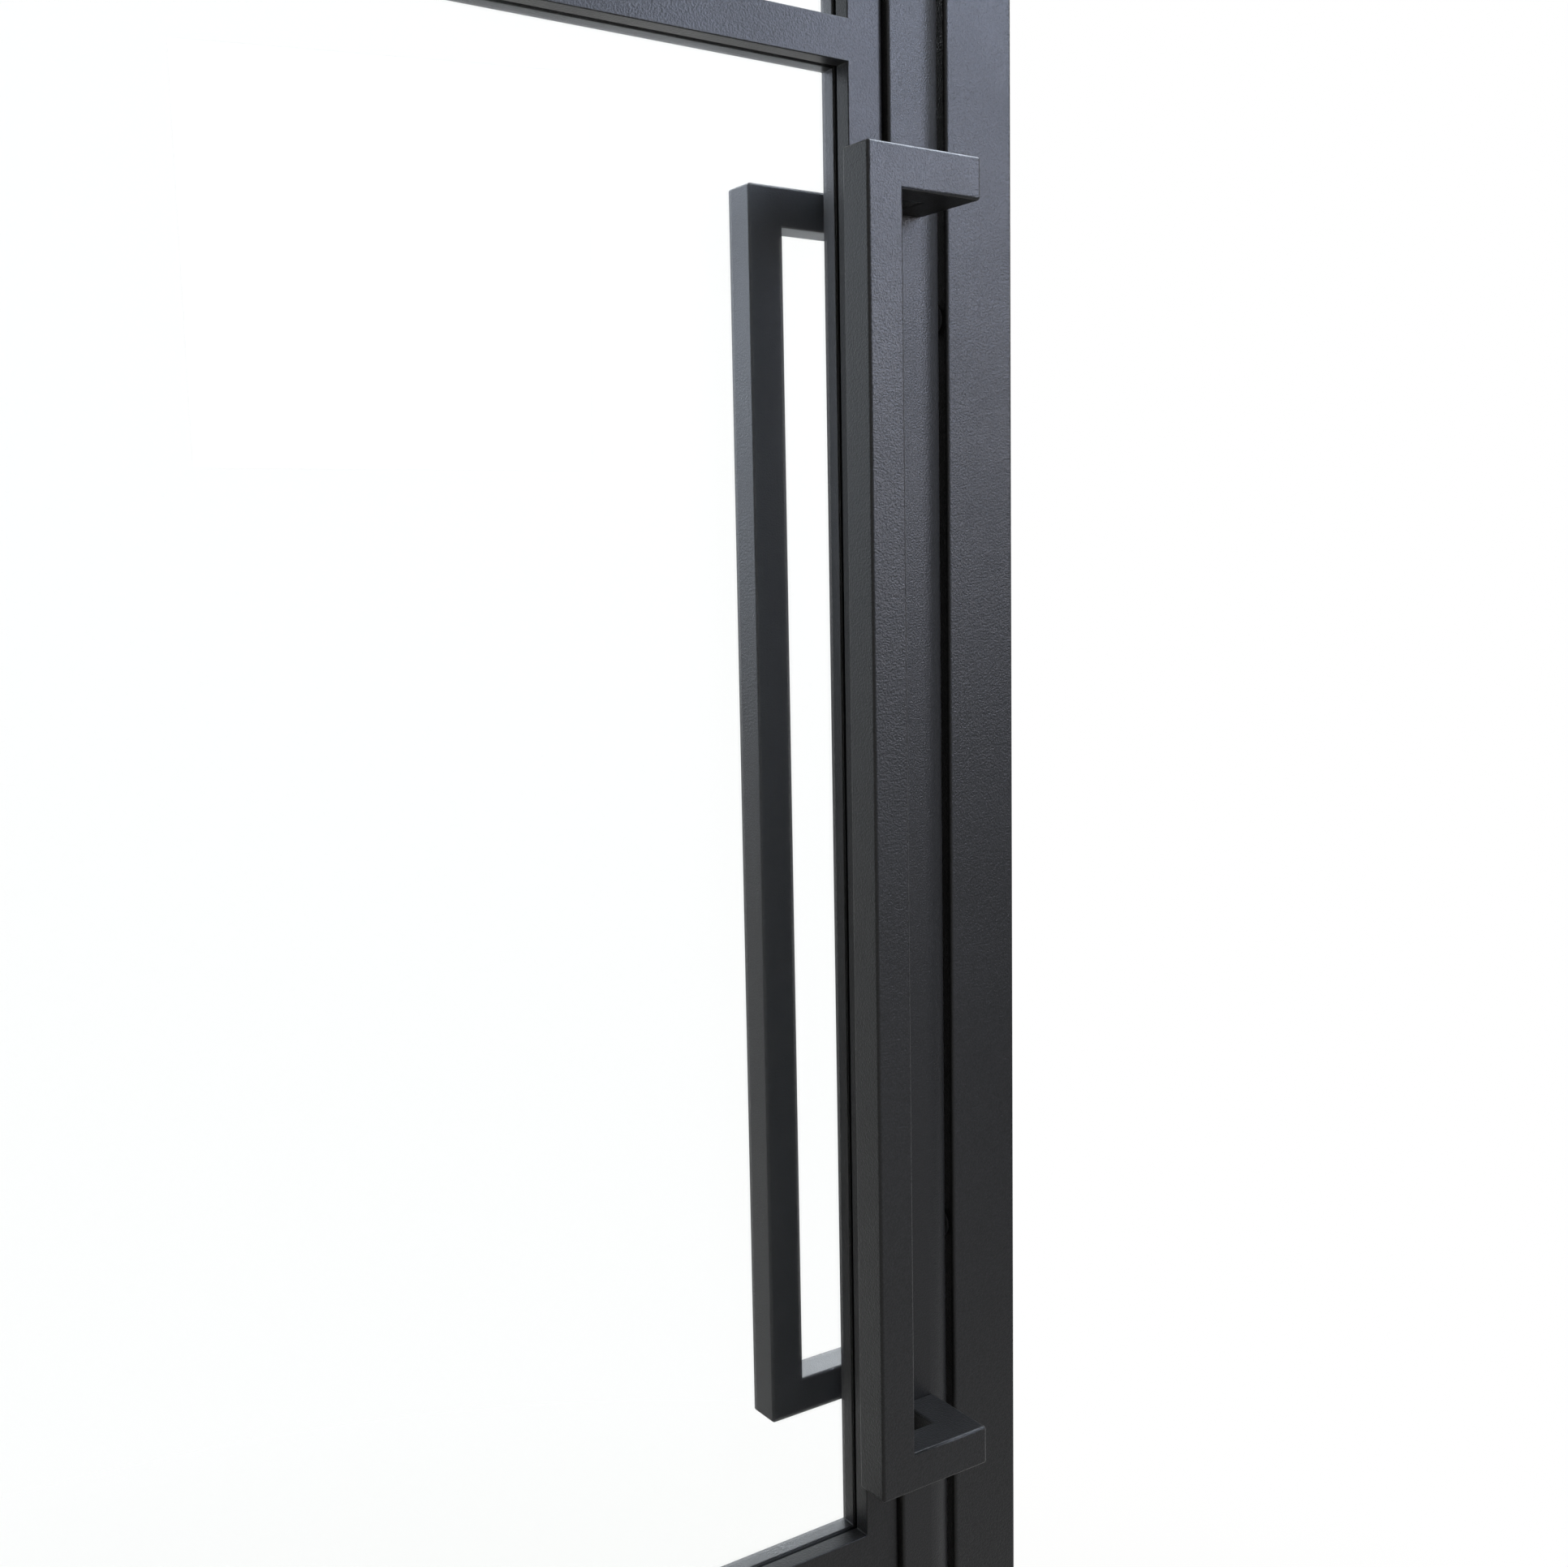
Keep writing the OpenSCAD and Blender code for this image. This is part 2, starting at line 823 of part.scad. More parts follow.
module back_muntin_lower() {
    mirror([0, 1, 0])
        front_muntin_lower();
}

// Square tube of the handle, standing up from the origin
module handle_tube(length) {
    linear_extrude(height = length)
        soft_outline(-handle_side / 2, handle_side / 2, handle_side / 2, handle_edge_r, handle_edge_r);
}

// Cutter for the mitre between the grip bar and the upper arm
module grip_mitre(upper) {
    translate([handle_left_x, -handle_front_y + handle_side / 2, handle_z1])
        rotate([90, 0, 0])
            linear_extrude(height = handle_side + 2 * over, center = true)
                mitre_triangle(handle_side, upper);
}

// Cutter for the mitre between the upper arm and its leg
module leg_mitre(upper) {
    translate([handle_right_x, -handle_front_y, handle_z1 - handle_side / 2])
        rotate([0, 0, 180])
            linear_extrude(height = handle_side + 2 * over, center = true)
                mitre_triangle(handle_side, upper);
}

// Repeats the upper end of the handle at its lower end
module both_handle_ends() {
    children();
    translate([0, 0, handle_z0 + handle_z1])
        mirror([0, 0, 1])
            children();
}

// Arm from the grip bar to the leg, and the leg back to the stile, mitred together
module handle_end() {
    difference() {
        translate([handle_left_x, -handle_front_y + handle_side / 2, handle_z1 - handle_side / 2])
            rotate([0, 90, 0])
                handle_tube(handle_right_x - handle_left_x);
        grip_mitre(false);
        leg_mitre(false);
    }
    difference() {
        translate([handle_foot_x, -handle_foot_y, handle_z1 - handle_side / 2])
            rotate([90, 0, 0])
                handle_tube(handle_reach);
        leg_mitre(true);
    }
}

// Hollow of the arm and the leg, up to the plug in the foot
module handle_end_hollow() {
    arm_y0 = -handle_front_y + handle_wall;
    arm_y1 = -handle_front_y + handle_side - handle_wall;
    arm_z0 = handle_z1 - handle_side + handle_wall;
    arm_z1 = handle_z1 - handle_wall;
    box([handle_left_x + handle_wall, arm_y0, arm_z0], [handle_right_x - handle_wall, arm_y1, arm_z1]);
    box([handle_right_x - handle_side + handle_wall, arm_y0, arm_z0],
        [handle_right_x - handle_wall, -handle_foot_y - foot_plug, arm_z1]);
}

// Cranked pull handle on the front of the leaf
module pull_handle() {
    color(coat)
        difference() {
            union() {
                difference() {
                    translate([handle_grip_x, -handle_front_y + handle_side / 2, handle_z0])
                        handle_tube(handle_len);
                    both_handle_ends()
                        grip_mitre(true);
                }
                both_handle_ends()
                    handle_end();
            }
            box([handle_left_x + handle_wall, -handle_front_y + handle_wall, handle_z0 + handle_wall],
                [handle_left_x + handle_side - handle_wall, -handle_front_y + handle_side - handle_wall,
                    handle_z1 - handle_wall]);
            both_handle_ends()
                handle_end_hollow();
            for (z = foot_heights)
                translate([handle_foot_x, over - handle_foot_y, z])
                    rotate([90, 0, 0])
                        cylinder(r = stud_d / 2 + hole_clear, h = stud_bite + hole_clear + over);
        }
}

module front_pull_handle() {
    pull_handle();
}

module back_pull_handle() {
    mirror([0, 1, 0])
        pull_handle();
}

module handle_studs() {
    color(steel)
        stud_places()
            cylinder(d = stud_d, h = 2 * (handle_foot_y + stud_bite), center = true);
}

module handle_foot_washers() {
    color(rubber)
        for (side = [0, 1])
            mirror([0, side, 0])
                stud_places()
                    translate([0, 0, leaf_t / 2])
                        linear_extrude(height = foot_washer_t)
                            difference() {
                                square(foot_washer_side, center = true);
                                circle(r = stud_d / 2 + hole_clear);
                            }
}

jamb_pivot_side();
jamb_handle_side();
frame_head();
corner_cleat_pivot_side();
corner_cleat_handle_side();
corner_cleat_screws();
fixing_hole_plugs();
floor_pivot_plate();
floor_pivot_pin();
top_pivot_bush();
top_pivot_plate();
top_plate_screws();
stile_pivot_side();
stile_handle_side();
top_rail();
bottom_rail();
stile_end_caps();
bottom_pivot_block();
bottom_pivot_bush();
bottom_block_screws();
top_pivot_block();
top_pivot_pin();
top_block_screws();
glass_pane();
glass_edge_gasket();
front_glazing_tape();
back_glazing_tape();
front_bar_pivot_side();
front_bar_handle_side();
front_bar_top();
front_bar_bottom();
front_muntin_upper();
front_muntin_lower();
back_bar_pivot_side();
back_bar_handle_side();
back_bar_top();
back_bar_bottom();
back_muntin_upper();
back_muntin_lower();
front_pull_handle();
back_pull_handle();
handle_studs();
handle_foot_washers();
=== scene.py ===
import math

import bmesh
import bpy
from mathutils import Euler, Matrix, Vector


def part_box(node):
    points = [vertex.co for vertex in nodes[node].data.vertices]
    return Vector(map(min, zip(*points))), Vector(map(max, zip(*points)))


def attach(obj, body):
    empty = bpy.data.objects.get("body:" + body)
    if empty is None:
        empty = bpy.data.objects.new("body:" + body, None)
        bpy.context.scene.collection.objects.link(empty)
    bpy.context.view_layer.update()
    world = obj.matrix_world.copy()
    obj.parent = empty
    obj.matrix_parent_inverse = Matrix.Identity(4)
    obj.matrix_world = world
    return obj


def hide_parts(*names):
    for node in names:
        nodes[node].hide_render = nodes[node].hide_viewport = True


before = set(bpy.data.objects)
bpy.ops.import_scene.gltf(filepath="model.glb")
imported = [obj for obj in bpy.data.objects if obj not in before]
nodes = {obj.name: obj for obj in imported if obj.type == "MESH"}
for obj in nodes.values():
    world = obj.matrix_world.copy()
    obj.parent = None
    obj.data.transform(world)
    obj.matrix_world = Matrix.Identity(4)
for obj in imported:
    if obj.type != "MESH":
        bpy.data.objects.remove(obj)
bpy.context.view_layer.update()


# Door frame: two jambs and a head of rectangular steel tube, mitred and drawn together by cleats
# inside the corners. It is powder coated, black with a fine grain and a satin gloss.
coat_black = (0.008, 0.0078, 0.0074, 1.0)
coat_black_thin = (0.016, 0.0155, 0.0147, 1.0)
coat_shine = 0.18
coat_grains_per_metre = 900
coat_clouds_per_metre = 14
coat_grain_depth = 0.0005
coat_grain_strength = 0.6
noise_low, noise_high = 0.3, 0.7


def new_material(name):
    material = bpy.data.materials.new(name)
    material.use_nodes = True
    tree = material.node_tree
    shader = tree.nodes["Principled BSDF"]
    return material, tree, shader


def object_noise(tree, grains_per_metre, detail, stretch=(1.0, 1.0, 1.0)):
    place = tree.nodes.new("ShaderNodeTexCoord")
    scaling = tree.nodes.new("ShaderNodeMapping")
    scaling.inputs["Scale"].default_value = stretch
    noise = tree.nodes.new("ShaderNodeTexNoise")
    noise.inputs["Scale"].default_value = grains_per_metre
    noise.inputs["Detail"].default_value = detail
    tree.links.new(place.outputs["Object"], scaling.inputs["Vector"])
    tree.links.new(scaling.outputs["Vector"], noise.inputs["Vector"])
    return noise.outputs["Fac"]


def spread(tree, factor, low, high):
    ramp = tree.nodes.new("ShaderNodeMapRange")
    ramp.inputs["From Min"].default_value = noise_low
    ramp.inputs["From Max"].default_value = noise_high
    ramp.inputs["To Min"].default_value = low
    ramp.inputs["To Max"].default_value = high
    tree.links.new(factor, ramp.inputs["Value"])
    return ramp.outputs["Result"]


def two_shades(tree, factor, shade_a, shade_b):
    mix = tree.nodes.new("ShaderNodeMix")
    mix.data_type = "RGBA"
    mix.inputs["A"].default_value = shade_a
    mix.inputs["B"].default_value = shade_b
    tree.links.new(factor, mix.inputs["Factor"])
    return mix.outputs["Result"]


def grain(tree, shader, height, depth, strength):
    bump = tree.nodes.new("ShaderNodeBump")
    bump.inputs["Distance"].default_value = depth
    bump.inputs["Strength"].default_value = strength
    tree.links.new(height, bump.inputs["Height"])
    tree.links.new(bump.outputs["Normal"], shader.inputs["Normal"])


def powder_coat(name, roughness_low, roughness_high):
    material, tree, shader = new_material(name)
    fine_grain = object_noise(tree, coat_grains_per_metre, 2)
    cloud = object_noise(tree, coat_clouds_per_metre, 2)
    shade = spread(tree, fine_grain, 0, 1)
    colour = two_shades(tree, shade, coat_black, coat_black_thin)
    tree.links.new(colour, shader.inputs["Base Color"])
    tree.links.new(spread(tree, cloud, roughness_low, roughness_high), shader.inputs["Roughness"])
    shader.inputs["Specular IOR Level"].default_value = coat_shine
    grain(tree, shader, fine_grain, coat_grain_depth, coat_grain_strength)
    return material


def dress(material, *names):
    for name in names:
        nodes[name].data.materials.clear()
        nodes[name].data.materials.append(material)


dress(powder_coat("frame_coat", 0.35, 0.40), "jamb_pivot_side", "jamb_handle_side", "frame_head")


# Corner cleats, pivot blocks and plates, with their screws, pins and studs: steel, sawn or turned and
# zinc plated. A faint brushed grain runs along the plates, and upright on the turned pieces.
zinc_light = (0.52, 0.53, 0.55, 1.0)
zinc_dark = (0.40, 0.41, 0.43, 1.0)
brush_marks_per_metre = 600
brush_depth = 0.00005
brush_strength = 0.2


def plated_steel(name, stretch):
    material, tree, shader = new_material(name)
    brushed = object_noise(tree, brush_marks_per_metre, 4, stretch)
    tree.links.new(two_shades(tree, brushed, zinc_light, zinc_dark), shader.inputs["Base Color"])
    tree.links.new(spread(tree, brushed, 0.3, 0.45), shader.inputs["Roughness"])
    shader.inputs["Metallic"].default_value = 1.0
    grain(tree, shader, brushed, brush_depth, brush_strength)
    return material


along_x = (0.03, 1.0, 1.0)
dress(plated_steel("zinc_plate", along_x),
      "corner_cleat_pivot_side", "corner_cleat_handle_side", "top_pivot_plate", "floor_pivot_plate",
      "bottom_pivot_block", "top_pivot_block")
along_z = (1.0, 1.0, 0.03)
dress(plated_steel("turned_steel", along_z),
      "corner_cleat_screws", "top_plate_screws", "floor_pivot_pin", "bottom_block_screws",
      "top_block_screws", "top_pivot_pin", "handle_studs")


# Bushes of the two pivots: bronze, turned with a flange that takes the wear.
# One sits in the head and its plate, the other in the block of the bottom rail.
bronze_bright = (0.60, 0.40, 0.19, 1.0)
bronze_dull = (0.46, 0.30, 0.14, 1.0)
tool_marks_per_metre = 500
around_z = (1.0, 1.0, 6.0)
bronze, bronze_tree, bronze_shader = new_material("turned_bronze")
turned = object_noise(bronze_tree, tool_marks_per_metre, 3, around_z)
bronze_colour = two_shades(bronze_tree, turned, bronze_bright, bronze_dull)
bronze_tree.links.new(bronze_colour, bronze_shader.inputs["Base Color"])
bronze_tree.links.new(spread(bronze_tree, turned, 0.28, 0.4), bronze_shader.inputs["Roughness"])
bronze_shader.inputs["Metallic"].default_value = 1.0
dress(bronze, "top_pivot_bush", "bottom_pivot_bush")


# Caps over the fixing holes of the frame and washers under the handle feet: black nylon, moulded, matt.
# The caps are pushed into the holes of the jambs, and the washers keep the feet off the coat.
nylon_black = (0.016, 0.016, 0.017, 1.0)
nylon_grey = (0.024, 0.024, 0.025, 1.0)
speckles_per_metre = 700
speckle_depth = 0.00008
speckle_strength = 0.2


def matt_black(name, shade_a, shade_b, roughness_low, roughness_high):
    material, tree, shader = new_material(name)
    speckle = object_noise(tree, speckles_per_metre, 2)
    tree.links.new(two_shades(tree, speckle, shade_a, shade_b), shader.inputs["Base Color"])
    tree.links.new(spread(tree, speckle, roughness_low, roughness_high), shader.inputs["Roughness"])
    grain(tree, shader, speckle, speckle_depth, speckle_strength)
    return material


dress(matt_black("moulded_nylon", nylon_black, nylon_grey, 0.5, 0.6),
      "fixing_hole_plugs", "handle_foot_washers")


# Leaf: stiles and rails of rolled steel tube with a channel for the glass, welded and coated like the
# frame. The outer edges of the stiles are rounded, so that the leaf can swing both ways.
dress(powder_coat("leaf_coat", 0.35, 0.40),
      "stile_pivot_side", "stile_handle_side", "top_rail", "bottom_rail", "stile_end_caps")


# Glass: one sheet of clear toughened float glass for the whole leaf, held by its edge in a rubber
# channel. It has a faint film, and its gloss varies slightly in waves left by the rollers.
glass_tint = (0.985, 0.995, 0.99, 1.0)
glass_tint_for_lamps = (0.9, 0.92, 0.91, 1.0)
waves_per_metre = 3
glass, glass_tree, glass_shader = new_material("clear_float_glass")
glass_shader.inputs["Base Color"].default_value = glass_tint
glass_shader.inputs["Transmission Weight"].default_value = 0.995
glass_shader.inputs["IOR"].default_value = 1.5
glass_shader.inputs["Coat Weight"].default_value = 0.05
glass_shader.inputs["Coat Roughness"].default_value = 0.4
roller_wave = object_noise(glass_tree, waves_per_metre, 1)
glass_tree.links.new(spread(glass_tree, roller_wave, 0.0, 0.003), glass_shader.inputs["Roughness"])
glass_for_lamps = glass_tree.nodes.new("ShaderNodeBsdfTransparent")
glass_for_lamps.inputs["Color"].default_value = glass_tint_for_lamps
glass_mix = glass_tree.nodes.new("ShaderNodeMixShader")
glass_rays = glass_tree.nodes.new("ShaderNodeLightPath")
glass_tree.links.new(glass_rays.outputs["Is Shadow Ray"], glass_mix.inputs["Fac"])
glass_tree.links.new(glass_shader.outputs["BSDF"], glass_mix.inputs[1])
glass_tree.links.new(glass_for_lamps.outputs["BSDF"], glass_mix.inputs[2])
glass_tree.links.new(glass_mix.outputs["Shader"], glass_tree.nodes["Material Output"].inputs["Surface"])
dress(glass, "glass_pane")


# Rubber channel around the edge of the glass, and the bonding tape under the glazing bars: black, matt.
# The channel is extruded and cut at the corners, and the tape is laid on both faces of the glass.
rubber_black = (0.008, 0.008, 0.008, 1.0)
rubber_grey = (0.014, 0.014, 0.014, 1.0)
dress(matt_black("glazing_rubber", rubber_black, rubber_grey, 0.65, 0.75),
      "glass_edge_gasket", "front_glazing_tape", "back_glazing_tape")


# Glazing bars: on each face a ladder of flat steel tube, welded, ground flush and coated, then bonded to
# the glass. Its arrises are softened, and the coat runs over the joints without a seam.
bar_coat = powder_coat("bar_coat", 0.35, 0.40)
bar_arris = 0.0007
bar_arris_steps = 3
bar_kinds = ("bar_pivot_side", "bar_handle_side", "bar_top", "bar_bottom", "muntin_upper", "muntin_lower")
corner_angle = 1.0
smooth_angle = math.radians(50)


def coated_piece(shape, name, coat, replaced):
    mesh = bpy.data.meshes.new(name)
    shape.to_mesh(mesh)
    shape.free()
    mesh.shade_smooth()
    mesh.set_sharp_from_angle(angle=smooth_angle)
    mesh.materials.append(coat)
    piece = bpy.data.objects.new(name, mesh)
    bpy.context.scene.collection.objects.link(piece)
    flat_faces = piece.modifiers.new("flat_faces", "WEIGHTED_NORMAL")
    flat_faces.weight = 100
    flat_faces.keep_sharp = True
    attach(piece, "leaf")
    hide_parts(*replaced)


def glazing_ladder(face):
    names = [face + "_" + kind for kind in bar_kinds]
    boxes = [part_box(name) for name in names]
    columns = sorted({round(corner.x, 5) for box in boxes for corner in box})
    rows = sorted({round(corner.z, 5) for box in boxes for corner in box})
    back = min(low.y for low, high in boxes)
    front = max(high.y for low, high in boxes)
    shape = bmesh.new()
    corners = {(x, z): shape.verts.new((x, back, z)) for x in columns for z in rows}
    for x0, x1 in zip(columns, columns[1:]):
        for z0, z1 in zip(rows, rows[1:]):
            x, z = (x0 + x1) / 2, (z0 + z1) / 2
            if any(low.x < x < high.x and low.z < z < high.z for low, high in boxes):
                shape.faces.new([corners[x0, z0], corners[x1, z0], corners[x1, z1], corners[x0, z1]])
    bmesh.ops.delete(shape, geom=[v for v in shape.verts if not v.link_faces], context="VERTS")
    grown = bmesh.ops.extrude_face_region(shape, geom=shape.faces[:])
    moved = [part for part in grown["geom"] if isinstance(part, bmesh.types.BMVert)]
    bmesh.ops.translate(shape, verts=moved, vec=(0, front - back, 0))
    bmesh.ops.recalc_face_normals(shape, faces=shape.faces[:])
    sharp = [edge for edge in shape.edges if edge.is_manifold and edge.calc_face_angle() > corner_angle]
    bmesh.ops.bevel(shape, geom=sharp, offset=bar_arris, segments=bar_arris_steps, profile=0.5,
                    affect="EDGES")
    coated_piece(shape, face + "_glazing_ladder", bar_coat, names)


glazing_ladder("front")
glazing_ladder("back")


# Pull handles: square steel tube, mitred, welded and linished until the arrises are round, then coated.
# A stud through the stile joins each foot of the front handle to that of the back one.
handle_coat = powder_coat("handle_coat", 0.34, 0.39)
handle_side = 0.025
handle_arris = 0.002
handle_arris_steps = 4
grip_lengths = ((0, 0, 0), (0, 0, 1), (0, 0, 2))
arm_lengths = ((1, 0, 0), (1, 0, 2))
foot_lengths = ((2, 0, 0), (2, 0, 2), (2, 1, 0), (2, 1, 2))
ring_steps = ((0, 0), (1, 0), (1, 1), (0, 1))


def pull_handle(face):
    low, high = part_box(face + "_pull_handle")
    front, foot = (low.y, high.y) if face == "front" else (high.y, low.y)
    columns = (low.x, low.x + handle_side, high.x - handle_side, high.x)
    depths = (front, front + math.copysign(handle_side, foot - front), foot)
    rows = (low.z, low.z + handle_side, high.z - handle_side, high.z)
    skin = {}
    for length in grip_lengths + arm_lengths + foot_lengths:
        for axis in range(3):
            for side in (0, 1):
                ring = []
                for u, v in ring_steps:
                    step = [u, v]
                    step.insert(axis, side)
                    ring.append(tuple(a + b for a, b in zip(length, step)))
                if skin.pop(frozenset(ring), None) is None:
                    skin[frozenset(ring)] = ring
    shape = bmesh.new()
    corners = {}
    for ring in skin.values():
        for i, j, k in ring:
            if (i, j, k) not in corners:
                corners[i, j, k] = shape.verts.new((columns[i], depths[j], rows[k]))
        shape.faces.new([corners[spot] for spot in ring])
    bmesh.ops.recalc_face_normals(shape, faces=shape.faces[:])
    foot_end = {corner for (i, j, k), corner in corners.items() if depths[j] == foot}
    outer = [edge for edge in shape.edges if edge.is_convex
             and edge.calc_face_angle() > corner_angle and not foot_end.issuperset(edge.verts)]
    bmesh.ops.bevel(shape, geom=outer, offset=handle_arris, segments=handle_arris_steps, profile=0.5,
                    affect="EDGES")
    coated_piece(shape, face + "_handle_tube", handle_coat, [face + "_pull_handle"])


pull_handle("front")
pull_handle("back")


# Surround of the studio: white wherever it is seen, also in the coat and in the glass.
# Its light on the door is only a weak, slightly cool fill.
surround_light = (0.15, 0.155, 0.165, 1.0)
white = (1.0, 1.0, 1.0, 1.0)
seen_rays = ("Is Camera Ray", "Is Glossy Ray", "Is Transmission Ray")


def ray_kind(tree, kinds):
    light_path = tree.nodes.new("ShaderNodeLightPath")
    found = light_path.outputs[kinds[0]]
    for kind in kinds[1:]:
        either = tree.nodes.new("ShaderNodeMath")
        either.operation = "MAXIMUM"
        tree.links.new(found, either.inputs[0])
        tree.links.new(light_path.outputs[kind], either.inputs[1])
        found = either.outputs["Value"]
    return found


world = bpy.data.worlds.new("white_surround")
bpy.context.scene.world = world
world.use_nodes = True
sky_tree = world.node_tree
sky_tree.nodes.clear()
sky_out = sky_tree.nodes.new("ShaderNodeOutputWorld")
sky_mix = sky_tree.nodes.new("ShaderNodeMixShader")
sky_light = sky_tree.nodes.new("ShaderNodeBackground")
sky_light.inputs["Color"].default_value = surround_light
sky_white = sky_tree.nodes.new("ShaderNodeBackground")
sky_white.inputs["Color"].default_value = white
sky_tree.links.new(ray_kind(sky_tree, seen_rays), sky_mix.inputs["Fac"])
sky_tree.links.new(sky_light.outputs["Background"], sky_mix.inputs[1])
sky_tree.links.new(sky_white.outputs["Background"], sky_mix.inputs[2])
sky_tree.links.new(sky_mix.outputs["Shader"], sky_out.inputs["Surface"])


# Floor of the studio: a wide pale sheet under the door, which takes the door's shadow near it
# and fades to the white of the surround further out.
floor_half = 12.0
floor_pale = (0.54, 0.5, 0.43, 1.0)
fade_from, fade_to = 0.6, 1.5
white_share_near, white_share_far = 0.55, 1.0
floor_shape = bmesh.new()
bmesh.ops.create_grid(floor_shape, x_segments=1, y_segments=1, size=floor_half)
floor_mesh = bpy.data.meshes.new("studio_floor")
floor_shape.to_mesh(floor_mesh)
floor_shape.free()
floor = bpy.data.objects.new("studio_floor", floor_mesh)
bpy.context.scene.collection.objects.link(floor)
floor_paint, floor_tree, floor_shader = new_material("pale_floor")
floor_shader.inputs["Base Color"].default_value = floor_pale
floor_shader.inputs["Roughness"].default_value = 0.9
floor_shader.inputs["Specular IOR Level"].default_value = 0.0
floor_white = floor_tree.nodes.new("ShaderNodeEmission")
floor_white.inputs["Color"].default_value = white
floor_place = floor_tree.nodes.new("ShaderNodeTexCoord")
floor_distance = floor_tree.nodes.new("ShaderNodeVectorMath")
floor_distance.operation = "LENGTH"
floor_tree.links.new(floor_place.outputs["Object"], floor_distance.inputs[0])
floor_fade = floor_tree.nodes.new("ShaderNodeMapRange")
floor_fade.inputs["From Min"].default_value = fade_from
floor_fade.inputs["From Max"].default_value = fade_to
floor_fade.inputs["To Min"].default_value = white_share_near
floor_fade.inputs["To Max"].default_value = white_share_far
floor_tree.links.new(floor_distance.outputs["Value"], floor_fade.inputs["Value"])
white_share = floor_tree.nodes.new("ShaderNodeMath")
white_share.operation = "MULTIPLY"
floor_tree.links.new(ray_kind(floor_tree, seen_rays), white_share.inputs[0])
floor_tree.links.new(floor_fade.outputs["Result"], white_share.inputs[1])
floor_mix = floor_tree.nodes.new("ShaderNodeMixShader")
floor_tree.links.new(white_share.outputs["Value"], floor_mix.inputs["Fac"])
floor_tree.links.new(floor_shader.outputs["BSDF"], floor_mix.inputs[1])
floor_tree.links.new(floor_white.outputs["Emission"], floor_mix.inputs[2])
floor_tree.links.new(floor_mix.outputs["Shader"], floor_tree.nodes["Material Output"].inputs["Surface"])
floor_mesh.materials.append(floor_paint)


# Lamps of the studio: soft boxes. The three in front have a grid, which keeps their light on the upper
# half of the door: a cool one high on the right, a more neutral one below it, a small one in the middle.
# One without a grid hangs above on the right, and three stand behind. None shows through the glass.
grid_fan = 60
open_fan = 180


def soft_lamp(name, place, aim, size, watts, colour, fan):
    lamp = bpy.data.lights.new(name, "AREA")
    lamp.shape = "RECTANGLE"
    lamp.size, lamp.size_y = size
    lamp.energy = watts
    lamp.color = colour
    lamp.spread = math.radians(fan)
    holder = bpy.data.objects.new(name, lamp)
    bpy.context.scene.collection.objects.link(holder)
    holder.location = place
    holder.rotation_euler = (Vector(aim) - Vector(place)).to_track_quat("-Z", "Y").to_euler()
    holder.visible_camera = False
    holder.visible_transmission = False


soft_lamp("lamp_front_high", (2.615, -2.462, 2.884), (0.438, 0.093, 1.894), (0.8, 1.4),
          18.0, (0.64, 0.74, 1.0), grid_fan)
soft_lamp("lamp_front_low", (2.825, -2.71, 1.781), (0.488, 0.032, 1.4), (0.8, 0.9),
          10.2, (0.82, 0.82, 0.92), grid_fan)
soft_lamp("lamp_front_middle", (1.22, -2.97, 1.9), (0.35, 0.05, 1.5), (0.9, 0.9),
          4.0, (0.68, 0.78, 1.0), grid_fan)
soft_lamp("lamp_above", (2.2, -0.32, 3.8), (0.4, 0.0, 1.2), (1.2, 1.2),
          185, (0.78, 0.87, 1.0), open_fan)
soft_lamp("lamp_behind_right", (1.95, 2.2, 2.0), (0.4, 0.0, 1.0), (2.0, 1.6),
          82, (0.88, 0.94, 1.0), open_fan)
soft_lamp("lamp_behind_left", (-0.92, 2.1, 1.85), (0.4, 0.0, 1.1), (1.4, 1.4),
          38, (0.74, 0.83, 1.0), open_fan)
soft_lamp("lamp_behind_high", (0.4, 2.6, 2.9), (0.4, 0.0, 1.4), (1.0, 0.6),
          22, (0.88, 0.94, 1.0), open_fan)


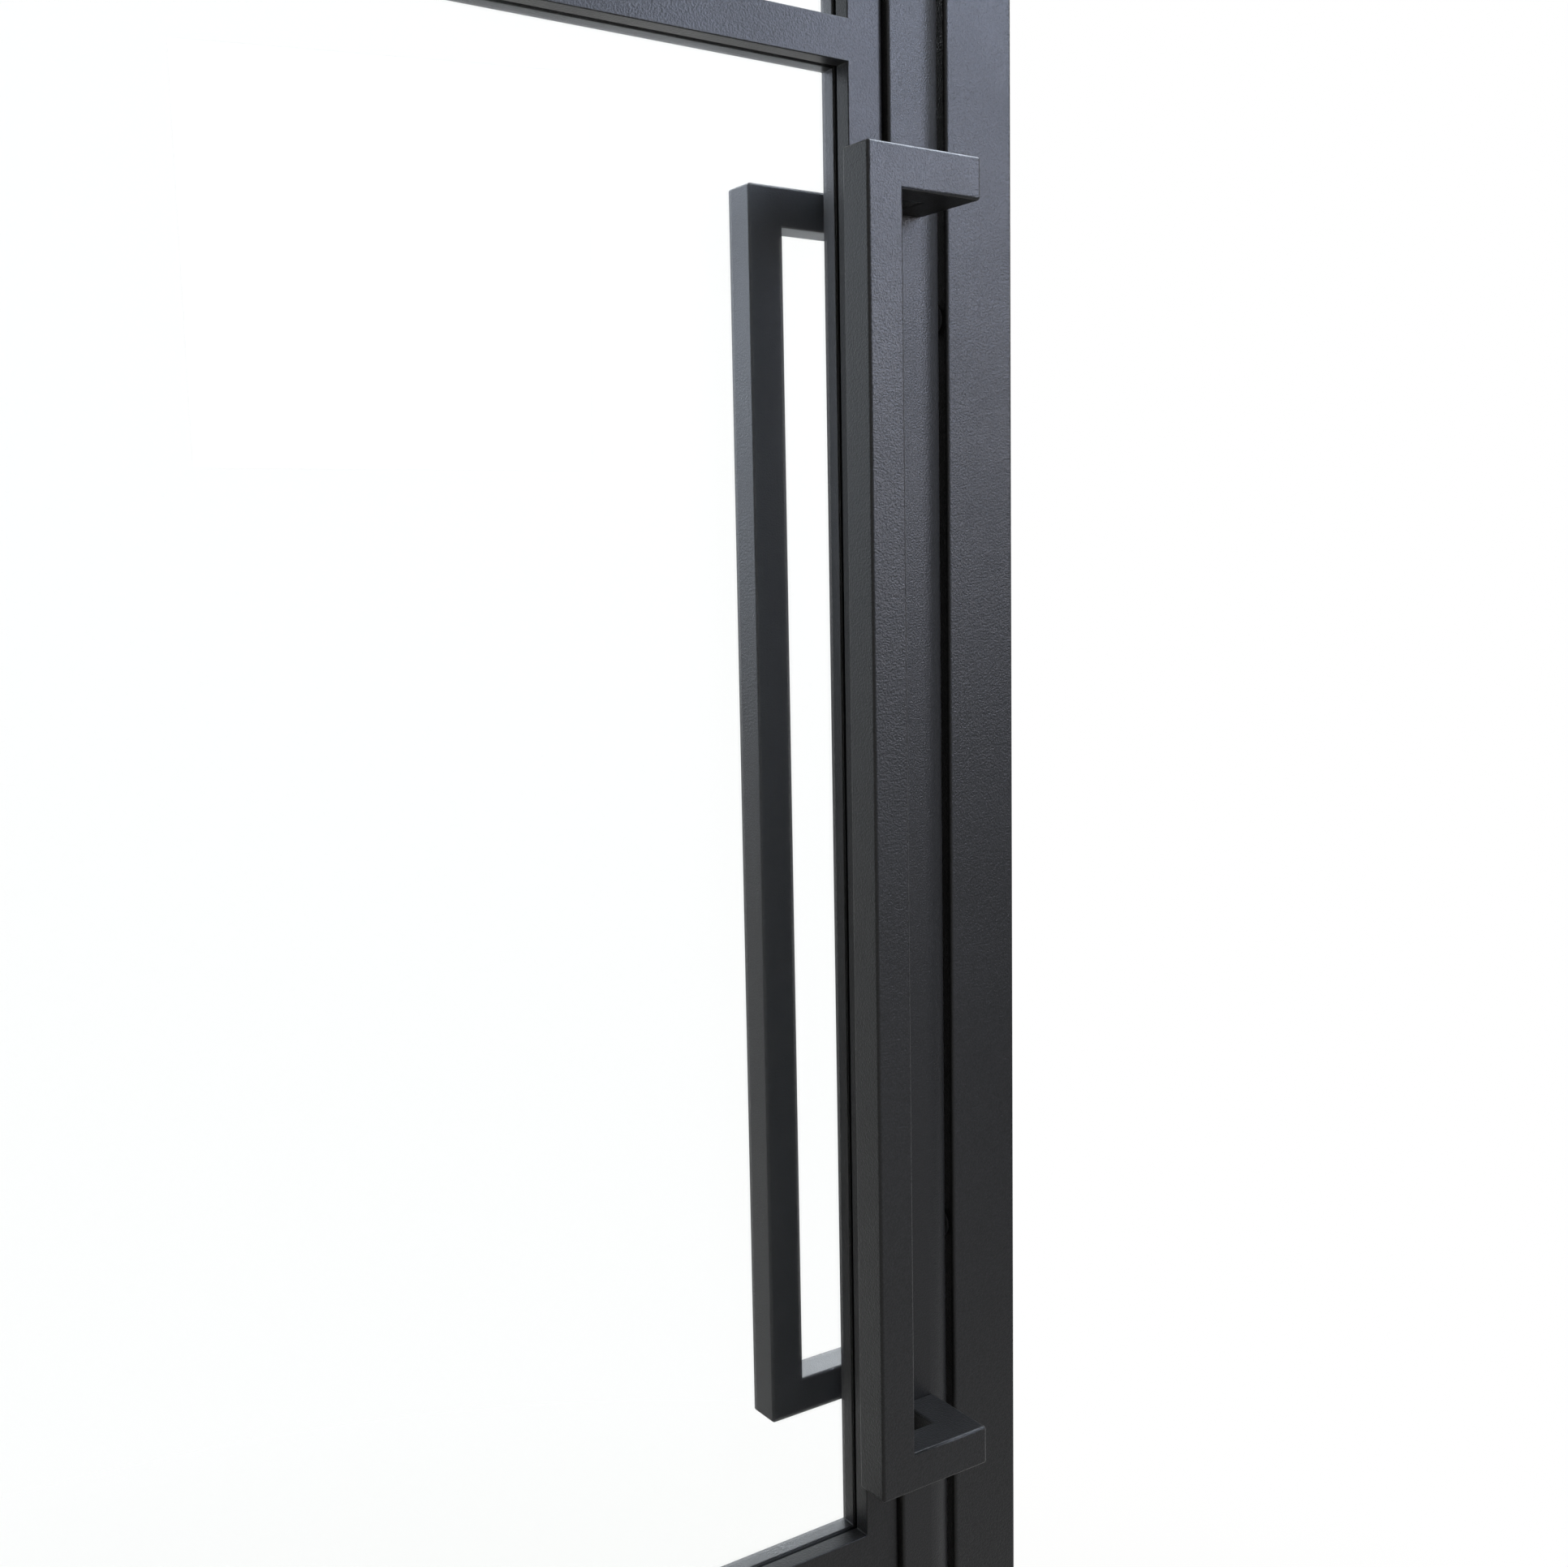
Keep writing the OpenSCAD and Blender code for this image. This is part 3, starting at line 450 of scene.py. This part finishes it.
# Flags of the studio: two sheets of black gauze with soft edges, one on the right and one low behind.
# They darken the curved edge of the stile and the undersides of the bars, and the camera doesn't see them.
gauze_black = (0.01, 0.01, 0.01, 1.0)
soft_edge = 0.4
flag_cloth, flag_tree, flag_shader = new_material("black_gauze")
flag_shader.inputs["Base Color"].default_value = gauze_black
flag_shader.inputs["Roughness"].default_value = 1.0
flag_shader.inputs["Specular IOR Level"].default_value = 0.0
flag_place = flag_tree.nodes.new("ShaderNodeTexCoord")
flag_middle = flag_tree.nodes.new("ShaderNodeTexGradient")
flag_middle.gradient_type = "SPHERICAL"
flag_tree.links.new(flag_place.outputs["Object"], flag_middle.inputs["Vector"])
flag_fade = flag_tree.nodes.new("ShaderNodeMapRange")
flag_fade.inputs["From Max"].default_value = soft_edge
flag_tree.links.new(flag_middle.outputs["Fac"], flag_fade.inputs["Value"])
flag_tree.links.new(flag_fade.outputs["Result"], flag_shader.inputs["Alpha"])


def dark_flag(name, place, aim, half_width, half_height):
    flag_shape = bmesh.new()
    bmesh.ops.create_grid(flag_shape, x_segments=1, y_segments=1, size=1.0)
    flag_mesh = bpy.data.meshes.new(name)
    flag_shape.to_mesh(flag_mesh)
    flag_shape.free()
    flag_mesh.materials.append(flag_cloth)
    flag = bpy.data.objects.new(name, flag_mesh)
    bpy.context.scene.collection.objects.link(flag)
    flag.location = place
    flag.rotation_euler = (Vector(aim) - Vector(place)).to_track_quat("Z", "Y").to_euler()
    flag.scale = (half_width, half_height, 1.0)
    flag.visible_camera = False
    flag.visible_transmission = False


dark_flag("flag_right", (1.6, -0.6, 1.2), (0.4, -0.6, 1.2), 0.75, 1.6)
dark_flag("flag_low_behind", (2.3, 2.7, 0.35), (0.3, 0.0, 0.9), 1.5, 0.85)


# Camera: at the photograph's place, about a metre from the handle, a little above its middle and turned
# to the right. Its lens and its centre were worked out from the straight edges of the door.
photo_width = 1932
photo_height = 1931
focal_pixels = 2090.7
centre_x_pixels = 1045.4
centre_y_pixels = 958.7
camera_place = (-0.2429, -0.8707, 1.1835)
camera_turn = (83.295, 0.789, -35.375)
view_camera = bpy.data.cameras.new("photo_camera")
view_camera.sensor_width = 36.0
view_camera.lens = focal_pixels / photo_width * view_camera.sensor_width
view_camera.shift_x = (photo_width / 2 - centre_x_pixels) / photo_width
view_camera.shift_y = (centre_y_pixels - photo_height / 2) / photo_width
view_camera.clip_start = 0.01
camera_stand = bpy.data.objects.new("photo_camera", view_camera)
bpy.context.scene.collection.objects.link(camera_stand)
camera_stand.location = camera_place
camera_stand.rotation_euler = Euler([math.radians(angle) for angle in camera_turn], "XYZ")
bpy.context.scene.camera = camera_stand
bpy.context.scene.view_settings.view_transform = "Standard"
